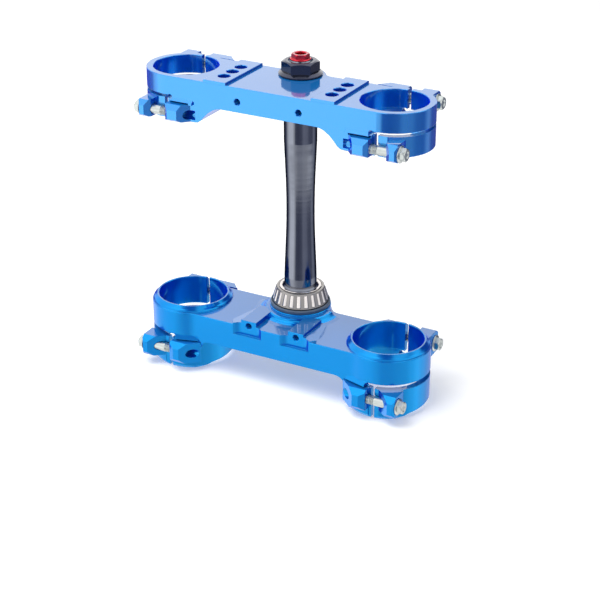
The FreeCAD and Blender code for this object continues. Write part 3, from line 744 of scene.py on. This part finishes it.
@dataclass
class Dressing:
    """Gives every CAD node its finish."""

    finishes: dict[Slot, bpy.types.Material]
    # Nodes whose finish differs a little from the others of their slot, such as a lit copy with
    # painted sheen.
    own: dict[str, bpy.types.Material]

    def dress(self, nodes: dict[str, bpy.types.Object], slots: dict[str, str]) -> None:
        """Puts each node's finish into its material slots.

        Args:
            nodes: the CAD objects by name.
            slots: the record's slot name of each node.
        """
        for name, obj in nodes.items():
            finish = self.own.get(name, self.finishes[Slot(slots[name])])
            for material_slot in obj.material_slots:
                material_slot.material = finish
            LOG.info("node %s wears %s", name, finish.name)


@dataclass
class Studio:
    """A white floor, soft light and the surroundings that shiny faces mirror."""

    floor_size: float = 9.0
    floor_gap_mm: float = 0.4
    floor_hex: str = "#F4F4F4"
    # What the floor adds for the camera alone, so that it shows white.
    floor_glow: float = 0.3
    # What upright walls mirror, by azimuth from the front towards the right, in degrees. The
    # upper clamp's walls look 18 degrees down, where the room is darker at the sides.
    near_levels: tuple[tuple[float, float], ...] = (
        (-180, 0.1), (-150, 0.08), (-128, 0.1), (-108, 0.14), (-88, 0.25), (-70, 0.7),
        (-56, 1.0), (-28, 1.0), (-16, 0.6), (-6, 0.17), (12, 0.14), (32, 0.18), (52, 0.34),
        (72, 0.32), (92, 0.2), (112, 0.18), (132, 0.4), (152, 0.15), (180, 0.1))
    near_strength: float = 2.0
    # The lower clamp's walls look 26 degrees down, towards the pale floor.
    deep_levels: tuple[tuple[float, float], ...] = (
        (-180, 0.55), (-150, 0.6), (-128, 0.7), (-108, 0.95), (-88, 0.9), (-60, 0.8),
        (-28, 0.74), (-8, 0.65), (12, 0.52), (32, 0.52), (52, 0.56), (72, 0.6), (92, 0.8),
        (112, 1.0), (132, 0.8), (155, 0.6), (180, 0.5))
    deep_strength: float = 1.8
    # Below the first of these heights the lower clamp's room is mirrored, and above the second
    # the upper clamp's. They are given as sines, as are those where the sky begins.
    deep_sines: tuple[float, float] = (-0.421, -0.408)
    # Dark parts of the room are a little blue, up to the level where it turns white.
    shade_hex: str = "#B0BEF4"
    lit_level: float = 0.6
    # What level faces, slopes and edges mirror, by height above the horizon and by azimuth.
    high_levels: tuple[tuple[float, float], ...] = (
        (0, 0.7), (14, 0.75), (34, 0.76), (46, 0.9), (66, 1.0), (78, 0.5), (90, 0.3))
    over_levels: tuple[tuple[float, float], ...] = (
        (-180, 1.0), (-110, 1.0), (-92, 0.7), (-72, 0.95), (-56, 1.0), (-22, 1.0), (-4, 0.3),
        (14, 0.14), (34, 0.2), (54, 0.65), (84, 0.7), (100, 0.5), (122, 1.0), (180, 1.0))
    # Near the horizon the room is even, apart from a dark gap behind on the right, which the
    # steps of the two pads show as dark lines.
    horizon_levels: tuple[tuple[float, float], ...] = (
        (-180, 1.0), (126, 1.0), (140, 0.1), (164, 0.1), (178, 1.0), (180, 1.0))
    # It goes over to the rest of the sky between these heights.
    horizon_degrees: tuple[float, float] = (26.0, 40.0)
    high_strength: float = 2.0
    # What walls mirror ends and the sky begins between these heights.
    sky_sines: tuple[float, float] = (-0.12, 0.06)
    room_light: float = 0.66
    key_power: float = 30.0
    key_size: tuple[float, float] = (1.6, 1.2)
    key_place: tuple[float, float, float] = (-0.5, -0.6, 1.7)
    key_aim: tuple[float, float, float] = (0.0, 0.0, 0.08)

    def ramp(self, tree: bpy.types.NodeTree, stops: list[tuple[float, float]],
             socket: bpy.types.NodeSocket) -> bpy.types.Node:
        """Adds a ramp from the blue of the dark parts to white.

        Args:
            tree: the tree that gets it.
            stops: place from 0 to 1 and level, per stop.
            socket: what drives the ramp.

        Returns:
            The ramp node.
        """
        node = add_node(tree, "ShaderNodeValToRGB", {}, {0: socket})
        shade = linear(self.shade_hex)[:3]
        ramp = node.color_ramp
        ramp.interpolation = "EASE"
        while len(ramp.elements) < len(stops):
            ramp.elements.new(0.5)
        for element, (place, level) in zip(ramp.elements, stops):
            element.position = place
            light = min(1.0, level / self.lit_level)
            element.color = (*(level * (c + (1.0 - c) * light) for c in shade), 1.0)
        return node

    def azimuth(self, tree: bpy.types.NodeTree,
                vector: bpy.types.NodeSocket) -> bpy.types.NodeSocket:
        """Turns a direction into its azimuth from 0 to 1.

        Args:
            tree: the tree that gets the nodes.
            vector: the direction.

        Returns:
            The azimuth, which is 0.5 at the front.
        """
        parts = add_node(tree, "ShaderNodeSeparateXYZ", {}, {0: vector})
        ahead = add_node(tree, "ShaderNodeMath", {"operation": "MULTIPLY", 1: -1.0},
                         {0: parts.outputs["Y"]})
        angle = add_node(tree, "ShaderNodeMath", {"operation": "ARCTAN2"},
                         {0: parts.outputs["X"], 1: ahead.outputs[0]})
        place = add_node(tree, "ShaderNodeMapRange", {"From Min": -math.pi, "From Max": math.pi},
                         {0: angle.outputs[0]})
        return place.outputs[0]

    def floor(self) -> None:
        """Lays the white floor just under the lowest point."""
        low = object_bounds()[0]
        material, tree = new_material("white_paper_floor")
        path = add_node(tree, "ShaderNodeLightPath")
        paper = add_node(tree, "ShaderNodeBsdfDiffuse", {"Color": linear(self.floor_hex)})
        lit = add_node(tree, "ShaderNodeMath", {"operation": "MULTIPLY", 1: self.floor_glow},
                       {0: path.outputs["Is Camera Ray"]})
        glow = add_node(tree, "ShaderNodeEmission", {}, {"Strength": lit.outputs[0]})
        both = add_node(tree, "ShaderNodeAddShader", {},
                        {0: paper.outputs[0], 1: glow.outputs[0]})
        add_node(tree, "ShaderNodeOutputMaterial", {}, {"Surface": both.outputs[0]})
        half = self.floor_size / 2
        height = low[2] - self.floor_gap_mm * MM
        mesh = bpy.data.meshes.new("studio_floor")
        corners = [(-half, -half, height), (half, -half, height), (half, half, height),
                   (-half, half, height)]
        mesh.from_pydata(corners, [], [(0, 1, 2, 3)])
        mesh.materials.append(material)
        sheet = as_piece("studio_floor", mesh)
        sheet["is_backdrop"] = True
        sheet.visible_glossy = False

    def room(self) -> None:
        """Lights the room evenly, white to the camera and graded to reflections."""
        world = bpy.data.worlds.new("studio_room")
        bpy.context.scene.world = world
        world.use_nodes = True
        tree = world.node_tree
        tree.nodes.clear()
        place = add_node(tree, "ShaderNodeTexCoord")
        way = place.outputs["Generated"]
        parts = add_node(tree, "ShaderNodeSeparateXYZ", {}, {0: way})
        rise = parts.outputs["Z"]
        lift = add_node(tree, "ShaderNodeMath", {"operation": "ARCSINE"}, {0: rise})
        height = add_node(tree, "ShaderNodeMapRange", {"From Min": 0.0, "From Max": math.pi / 2},
                          {0: lift.outputs[0]})
        high = self.ramp(tree, [(h / 90, level) for h, level in self.high_levels],
                         height.outputs[0])
        turn = self.azimuth(tree, way)
        near, deep, over, horizon = (
            self.ramp(tree, [((a + 180) / 360, level) for a, level in levels], turn)
            for levels in (self.near_levels, self.deep_levels, self.over_levels,
                           self.horizon_levels))
        low, top = (math.radians(h) for h in self.horizon_degrees)
        leave = add_node(tree, "ShaderNodeMapRange", {"From Min": low, "From Max": top},
                         {0: lift.outputs[0]})
        ring = add_node(tree, "ShaderNodeMix", {"data_type": "RGBA"},
                        {0: leave.outputs[0], 6: horizon.outputs[0], 7: over.outputs[0]})
        sky = add_node(tree, "ShaderNodeMix",
                       {"data_type": "RGBA", "blend_type": "MULTIPLY", 0: 1.0},
                       {6: high.outputs[0], 7: ring.outputs[2]})
        above = add_node(tree, "ShaderNodeBackground", {"Strength": self.high_strength},
                         {"Color": sky.outputs[2]})
        side = add_node(tree, "ShaderNodeBackground", {"Strength": self.near_strength},
                        {"Color": near.outputs[0]})
        under = add_node(tree, "ShaderNodeBackground", {"Strength": self.deep_strength},
                         {"Color": deep.outputs[0]})
        low, top = self.deep_sines
        climb = add_node(tree, "ShaderNodeMapRange", {"From Min": low, "From Max": top}, {0: rise})
        below = add_node(tree, "ShaderNodeMixShader", {},
                         {0: climb.outputs[0], 1: under.outputs[0], 2: side.outputs[0]})
        low, top = self.sky_sines
        open_up = add_node(tree, "ShaderNodeMapRange",
                           {"From Min": low, "From Max": top, "interpolation_type": "SMOOTHSTEP"},
                           {0: rise})
        mirrored = add_node(tree, "ShaderNodeMixShader", {},
                            {0: open_up.outputs[0], 1: below.outputs[0], 2: above.outputs[0]})
        path = add_node(tree, "ShaderNodeLightPath")
        plain = add_node(tree, "ShaderNodeBackground", {"Strength": self.room_light})
        white = add_node(tree, "ShaderNodeBackground", {"Strength": 1.0})
        first = add_node(tree, "ShaderNodeMixShader", {},
                         {0: path.outputs["Is Glossy Ray"], 1: plain.outputs[0],
                          2: mirrored.outputs[0]})
        last = add_node(tree, "ShaderNodeMixShader", {},
                        {0: path.outputs["Is Camera Ray"], 1: first.outputs[0],
                         2: white.outputs[0]})
        add_node(tree, "ShaderNodeOutputWorld", {}, {"Surface": last.outputs[0]})

    def lamp(self) -> None:
        """Hangs one broad soft lamp over the left front."""
        data = bpy.data.lights.new("key_softbox", "AREA")
        data.shape = "RECTANGLE"
        data.size, data.size_y = self.key_size
        data.energy = self.key_power
        lamp = bpy.data.objects.new("key_softbox", data)
        bpy.context.scene.collection.objects.link(lamp)
        lamp.location = self.key_place
        aim = Vector(self.key_aim) - lamp.location
        lamp.rotation_euler = aim.to_track_quat("-Z", "Y").to_euler()
        lamp.visible_glossy = False

    def build(self) -> None:
        """Builds the whole studio."""
        self.floor()
        self.room()
        self.lamp()


@dataclass
class Viewpoint:
    """The photograph's view, fitted to the bores, the stem and the long edges."""

    # Degrees from the front towards the right, and degrees up.
    azimuth: float = 28.44
    elevation: float = 25.65
    distance_mm: float = 1410.67
    aim_right_mm: float = -0.46
    aim_height_mm: float = 33.6
    focal_points: float = 1651.85
    frame_points: float = 600.0
    sensor_mm: float = 36.0

    def build(self) -> None:
        """Sets the camera."""
        a, e = math.radians(self.azimuth), math.radians(self.elevation)
        right = Vector((math.cos(a), math.sin(a), 0.0))
        aim = right * self.aim_right_mm * MM + Vector((0.0, 0.0, self.aim_height_mm * MM))
        back = Vector((math.sin(a) * math.cos(e), -math.cos(a) * math.cos(e), math.sin(e)))
        data = bpy.data.cameras.new("view")
        data.sensor_width = self.sensor_mm
        data.lens = self.focal_points / self.frame_points * self.sensor_mm
        camera = bpy.data.objects.new("view", data)
        bpy.context.scene.collection.objects.link(camera)
        camera.location = aim + back * self.distance_mm * MM
        camera.rotation_euler = Euler((math.radians(90 - self.elevation), 0.0, a))
        bpy.context.scene.camera = camera


def main() -> None:
    """Builds the scene."""
    logging.basicConfig(level=logging.INFO, format="%(message)s")
    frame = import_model()
    bpy.context.scene.view_settings.view_transform = "Standard"
    finishes = {Slot.BLUE: BLUE.build(), Slot.STEM: STEM.build(), Slot.NUT: NUT.build(),
                Slot.PLUG: RED.build(), Slot.BOLT: ZINC.build(), Slot.BEARING: BEARING.build(),
                Slot.CAGE: CAGE.build(), Slot.SEAL: RUBBER.build()}
    slots = {s["node"]: s["material_slot"] for s in frame["record"]["subparts"]}
    # The upper clamp gets the lit copy, whose walls carry painted sheen.
    Dressing(finishes, {"upper_clamp": UPPER_LIT_COPY_BLUE.build()}).dress(frame["nodes"], slots)
    threads = ThreadMaker()
    tree = threads.build()
    for node in frame["nodes"]:
        if "_bolt_" in node:
            side = Side.RIGHT if node.endswith("right") else Side.LEFT
            bolt = PinchBolt(node, side).build(threads, tree, finishes[Slot.BOLT])
            LOG.info("bolt %s, %d faces", bolt.name, len(bolt.data.polygons))
    for mount, depth in TAPPED.items():
        TappedHoles(mount, depth).build(frame["record"], threads, tree, finishes[Slot.BLUE])
    Studio().build()
    Viewpoint().build()


if __name__ == "__main__":
    main()
